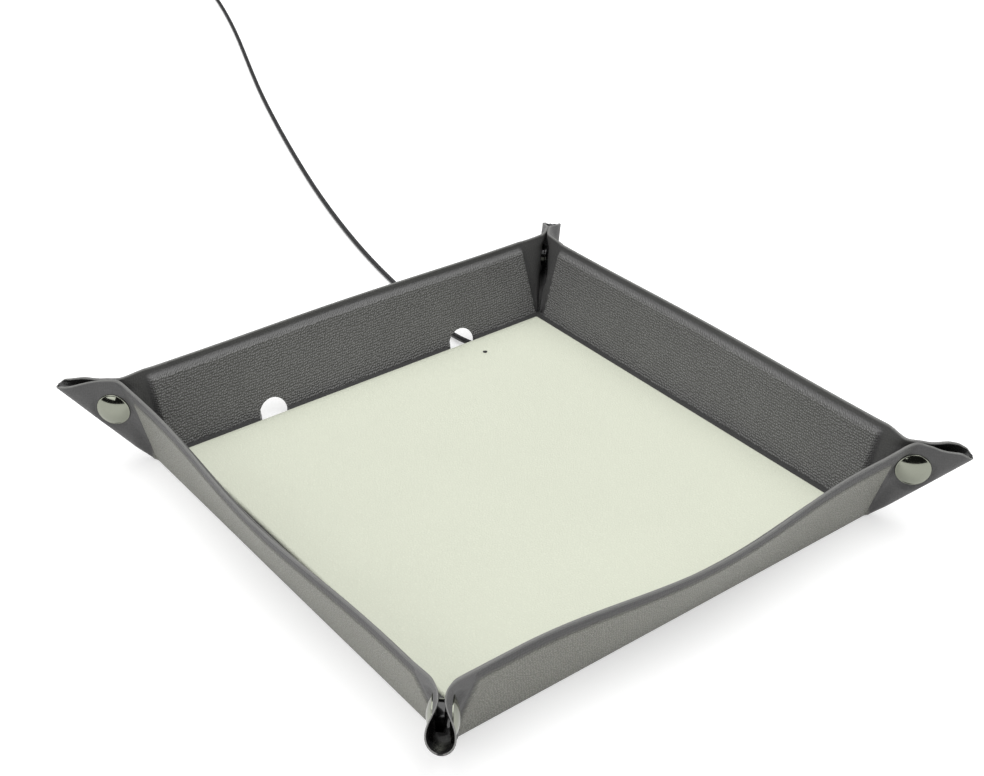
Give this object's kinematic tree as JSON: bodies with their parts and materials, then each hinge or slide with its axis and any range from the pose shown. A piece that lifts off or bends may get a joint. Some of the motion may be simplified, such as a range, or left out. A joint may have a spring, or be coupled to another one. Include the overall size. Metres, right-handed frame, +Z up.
{
  "type": "charging station organizer",
  "caption": "Square catch-all tray with snapped corner folds, a pale floor over a hidden wireless charger, cable notches in one wall and a charging lead with plug.",
  "frame": {"origin": "centre of the square base's underside, on the table", "axes": "+Z up from the table; X and Y along the base's sides; the wall on the -X side carries the two cable notches and the lead"},
  "size_m": [0.8593, 0.3956, 0.038],
  "materials": {
    "outer_leather": "dark grey grained artificial leather, matt",
    "inner_leather": "dark grey grained artificial leather, matt",
    "corner_leather": "the same artificial leather, doubled and unpadded",
    "pale_leather": "pale sage artificial leather with a fine grain",
    "stiff_board": "grey-brown stiffening board",
    "charger_case": "black moulded plastic",
    "ferrite": "dark grey ferrite sheet",
    "copper_wire": null,
    "green_board": "green circuit board",
    "black_parts": "black electronic parts",
    "steel": "plain steel",
    "lamp_white": "small clear lamp",
    "light_pipe": "clear moulded pin",
    "lead_black": "near-black satin cord sheath",
    "tie_black": "black soft band",
    "plug_black": "near-black moulded plug body",
    "tongue_white": "white plug insert",
    "gold_contact": "plated contacts",
    "dark_nickel": "polished dark nickel",
    "bright_nickel": "polished nickel"
  },
  "bodies": {
    "base": {"base_outer_skin": "outer_leather", "base_board": "stiff_board", "floor_border_skin": "inner_leather", "floor_insert": "pale_leather", "charger_tray": "charger_case", "charger_lid": "charger_case", "ferrite_sheet": "ferrite", "charging_coil": "copper_wire", "coil_wires": "copper_wire", "circuit_board": "green_board", "board_screws": "steel", "board_parts": "black_parts", "status_light": "lamp_white", "light_guide": "light_pipe", "lead_strain_relief": "lead_black", "charging_lead": "lead_black", "charging_lead_coil": "lead_black", "coil_tie": "tie_black", "plug_strain_relief": "plug_black", "plug_grip": "plug_black", "plug_shell": "steel", "plug_tongue": "tongue_white", "plug_contacts": "gold_contact"},
    "front_wall": {"front_wall_outer_skin": "outer_leather", "front_wall_board": "stiff_board", "front_wall_inner_skin": "inner_leather"},
    "right_wall": {"right_wall_outer_skin": "outer_leather", "right_wall_board": "stiff_board", "right_wall_inner_skin": "inner_leather"},
    "back_wall": {"back_wall_outer_skin": "outer_leather", "back_wall_board": "stiff_board", "back_wall_inner_skin": "inner_leather"},
    "left_wall": {"left_wall_outer_skin": "outer_leather", "left_wall_board": "stiff_board", "left_wall_inner_skin": "inner_leather"},
    "back_right_back_flap": {"back_right_corner_back_flap": "corner_leather", "back_right_snap_cap_back": "dark_nickel", "back_right_snap_socket": "bright_nickel"},
    "back_right_right_flap": {"back_right_corner_right_flap": "corner_leather", "back_right_snap_cap_right": "dark_nickel", "back_right_snap_stud": "bright_nickel"},
    "back_left_left_flap": {"back_left_corner_left_flap": "corner_leather", "back_left_snap_cap_left": "dark_nickel", "back_left_snap_socket": "bright_nickel"},
    "back_left_back_flap": {"back_left_corner_back_flap": "corner_leather", "back_left_snap_cap_back": "dark_nickel", "back_left_snap_stud": "bright_nickel"},
    "front_left_front_flap": {"front_left_corner_front_flap": "corner_leather", "front_left_snap_cap_front": "dark_nickel", "front_left_snap_socket": "bright_nickel"},
    "front_left_left_flap": {"front_left_corner_left_flap": "corner_leather", "front_left_snap_cap_left": "dark_nickel", "front_left_snap_stud": "bright_nickel"},
    "front_right_right_flap": {"front_right_corner_right_flap": "corner_leather", "front_right_snap_cap_right": "dark_nickel", "front_right_snap_socket": "bright_nickel"},
    "front_right_front_flap": {"front_right_corner_front_flap": "corner_leather", "front_right_snap_cap_front": "dark_nickel", "front_right_snap_stud": "bright_nickel"}
  },
  "joints": [
    {"name": "front_wall_fold", "type": "hinge", "parent": "base", "child": "front_wall", "pos_m": [0, -0.1025, 0], "axis": [1, 0, 0], "range_deg": [0, 60]},
    {"name": "right_wall_fold", "type": "hinge", "parent": "base", "child": "right_wall", "pos_m": [0.1025, 0, 0], "axis": [0, 1, 0], "range_deg": [0, 60]},
    {"name": "back_wall_fold", "type": "hinge", "parent": "base", "child": "back_wall", "pos_m": [0, 0.1025, 0], "axis": [-1, 0, 0], "range_deg": [0, 60]},
    {"name": "left_wall_fold", "type": "hinge", "parent": "base", "child": "left_wall", "pos_m": [-0.1025, 0, 0], "axis": [0, -1, 0], "range_deg": [0, 60]},
    {"name": "back_right_back_flap_fold", "type": "hinge", "parent": "back_wall", "child": "back_right_back_flap", "pos_m": [0.1025, 0.1025, 0], "axis": [-0.0627, -0.0853, -0.9944], "range_deg": [0, 27.5]},
    {"name": "back_right_right_flap_fold", "type": "hinge", "parent": "right_wall", "child": "back_right_right_flap", "pos_m": [0.1025, 0.1025, 0], "axis": [0.0853, 0.0627, 0.9944], "range_deg": [0, 27.5]},
    {"name": "back_left_left_flap_fold", "type": "hinge", "parent": "left_wall", "child": "back_left_left_flap", "pos_m": [-0.1025, 0.1025, 0], "axis": [0.0853, -0.0627, -0.9944], "range_deg": [0, 27.5]},
    {"name": "back_left_back_flap_fold", "type": "hinge", "parent": "back_wall", "child": "back_left_back_flap", "pos_m": [-0.1025, 0.1025, 0], "axis": [-0.0627, 0.0853, 0.9944], "range_deg": [0, 27.5]},
    {"name": "front_left_front_flap_fold", "type": "hinge", "parent": "front_wall", "child": "front_left_front_flap", "pos_m": [-0.1025, -0.1025, 0], "axis": [0.0627, 0.0853, -0.9944], "range_deg": [0, 27.5]},
    {"name": "front_left_left_flap_fold", "type": "hinge", "parent": "left_wall", "child": "front_left_left_flap", "pos_m": [-0.1025, -0.1025, 0], "axis": [-0.0853, -0.0627, 0.9944], "range_deg": [0, 27.5]},
    {"name": "front_right_right_flap_fold", "type": "hinge", "parent": "right_wall", "child": "front_right_right_flap", "pos_m": [0.1025, -0.1025, 0], "axis": [-0.0853, 0.0627, -0.9944], "range_deg": [0, 27.5]},
    {"name": "front_right_front_flap_fold", "type": "hinge", "parent": "front_wall", "child": "front_right_front_flap", "pos_m": [0.1025, -0.1025, 0], "axis": [0.0627, -0.0853, 0.9944], "range_deg": [0, 27.5]}
  ],
  "couplings": [
    {"joint": "right_wall_fold", "follows": "front_wall_fold", "ratio": 1},
    {"joint": "back_wall_fold", "follows": "front_wall_fold", "ratio": 1},
    {"joint": "left_wall_fold", "follows": "front_wall_fold", "ratio": 1},
    {"joint": "back_right_back_flap_fold", "follows": "front_wall_fold", "ratio": 0.45616},
    {"joint": "back_right_right_flap_fold", "follows": "front_wall_fold", "ratio": 0.45616},
    {"joint": "back_left_left_flap_fold", "follows": "front_wall_fold", "ratio": 0.45616},
    {"joint": "back_left_back_flap_fold", "follows": "front_wall_fold", "ratio": 0.45616},
    {"joint": "front_left_front_flap_fold", "follows": "front_wall_fold", "ratio": 0.45616},
    {"joint": "front_left_left_flap_fold", "follows": "front_wall_fold", "ratio": 0.45616},
    {"joint": "front_right_right_flap_fold", "follows": "front_wall_fold", "ratio": 0.45616},
    {"joint": "front_right_front_flap_fold", "follows": "front_wall_fold", "ratio": 0.45616}
  ]
}
